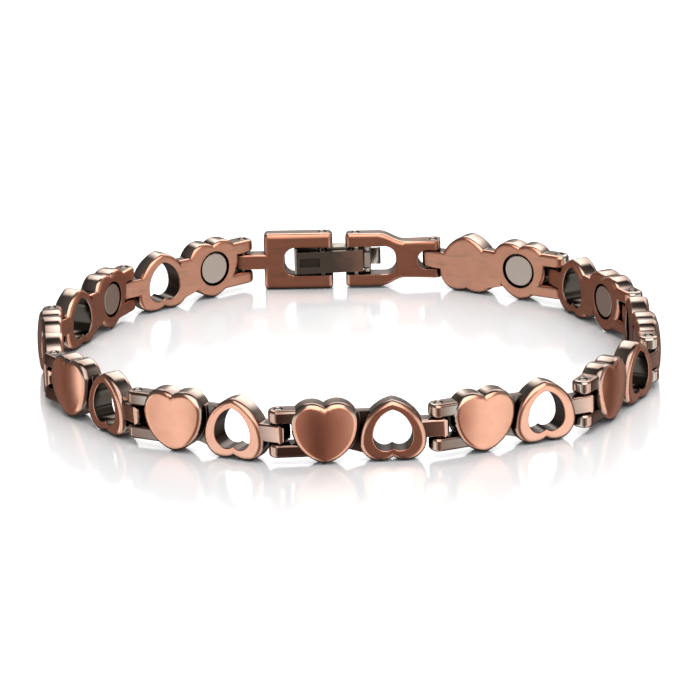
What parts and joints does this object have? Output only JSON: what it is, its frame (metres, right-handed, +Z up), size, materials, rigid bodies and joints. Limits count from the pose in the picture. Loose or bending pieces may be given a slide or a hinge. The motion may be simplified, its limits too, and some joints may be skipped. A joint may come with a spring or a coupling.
{
  "type": "magnetic bracelet",
  "caption": "Antique copper bracelet of hinged heart links with round magnets in their backs and a fold-over clasp, standing on its edge as a closed loop.",
  "frame": {"origin": "centre of the bracelet's footprint, on the surface that it stands on", "axes": "+Z up, along the hinge pins; the clasp is at the back, towards +Y, and +X runs to the forked plate's side of the clasp"},
  "size_m": [0.0674, 0.0651, 0.0066],
  "materials": {
    "antique_copper": "antique copper plating, polished on the faces and dark in the recesses",
    "magnet": "nickel-plated magnet, satin",
    "pin": "bright turned ends",
    "clasp_metal": "darkened, satin, copper showing at worn edges"
  },
  "bodies": {
    "bracelet": {"heart_link_1": "antique_copper", "heart_link_2": "antique_copper", "heart_link_3": "antique_copper", "heart_link_4": "antique_copper", "heart_link_5": "antique_copper", "heart_link_6": "antique_copper", "heart_link_7": "antique_copper", "heart_link_8": "antique_copper", "heart_link_9": "antique_copper", "heart_link_10": "antique_copper", "end_link": "antique_copper", "magnet_1": "magnet", "magnet_2": "magnet", "magnet_3": "magnet", "magnet_4": "magnet", "magnet_5": "magnet", "magnet_6": "magnet", "magnet_7": "magnet", "magnet_8": "magnet", "magnet_9": "magnet", "magnet_10": "magnet", "magnet_11": "magnet", "hinge_pin_1": "pin", "hinge_pin_2": "pin", "hinge_pin_3": "pin", "hinge_pin_4": "pin", "hinge_pin_5": "pin", "hinge_pin_6": "pin", "hinge_pin_7": "pin", "hinge_pin_8": "pin", "hinge_pin_9": "pin", "hinge_pin_10": "pin", "hinge_pin_11": "pin", "hinge_pin_12": "pin", "forked_plate": "antique_copper", "tongued_plate": "antique_copper", "forked_plate_pin": "pin", "tongued_plate_pin": "pin", "clasp_blade": "clasp_metal", "clasp_hinge_pin": "pin"},
    "cover": {"clasp_cover": "clasp_metal"}
  },
  "joints": [
    {"name": "clasp_cover_hinge", "type": "hinge", "parent": "bracelet", "child": "cover", "pos_m": [0.00254, 0.031, 0.0033], "axis": [0, 0, -1], "range_deg": [0, 110]}
  ]
}
